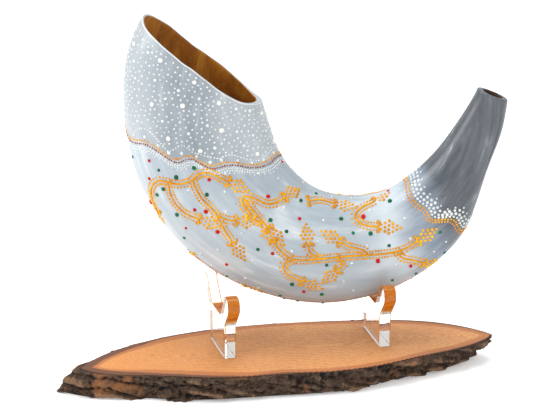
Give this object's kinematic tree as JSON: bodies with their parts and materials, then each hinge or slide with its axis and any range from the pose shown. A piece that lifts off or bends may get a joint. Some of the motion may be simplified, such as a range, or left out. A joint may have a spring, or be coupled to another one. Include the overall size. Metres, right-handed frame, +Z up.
{
  "type": "shofar on a display stand",
  "caption": "Curved ram's-horn wind instrument, hollow from bell to mouthpiece, painted with raised vines and dots, resting on two clear cradles bonded to a slice of log.",
  "frame": {"origin": "centre of the log slice's flat underside", "axes": "+X along the slice from the horn's bell to its mouthpiece, +Y to the back, +Z up"},
  "size_m": [0.305, 0.1293, 0.2342],
  "materials": {
    "painted_horn": "satin",
    "clear_acrylic": "polished",
    "clear_adhesive": "glossy",
    "sawn_wood": "sanded and oiled",
    "bark": "rough"
  },
  "bodies": {
    "stand": {"wood_slice": "sawn_wood", "bark_front": "bark", "bark_back": "bark", "bond_left": "clear_adhesive", "bond_right": "clear_adhesive", "acrylic_cradle_left": "clear_acrylic", "acrylic_cradle_right": "clear_acrylic"},
    "horn": {"horn": "painted_horn"}
  },
  "joints": [
    {"name": "horn_lift", "type": "slide", "parent": "stand", "child": "horn", "axis": [0, 0, 1], "range_m": [0, 0.12]}
  ]
}
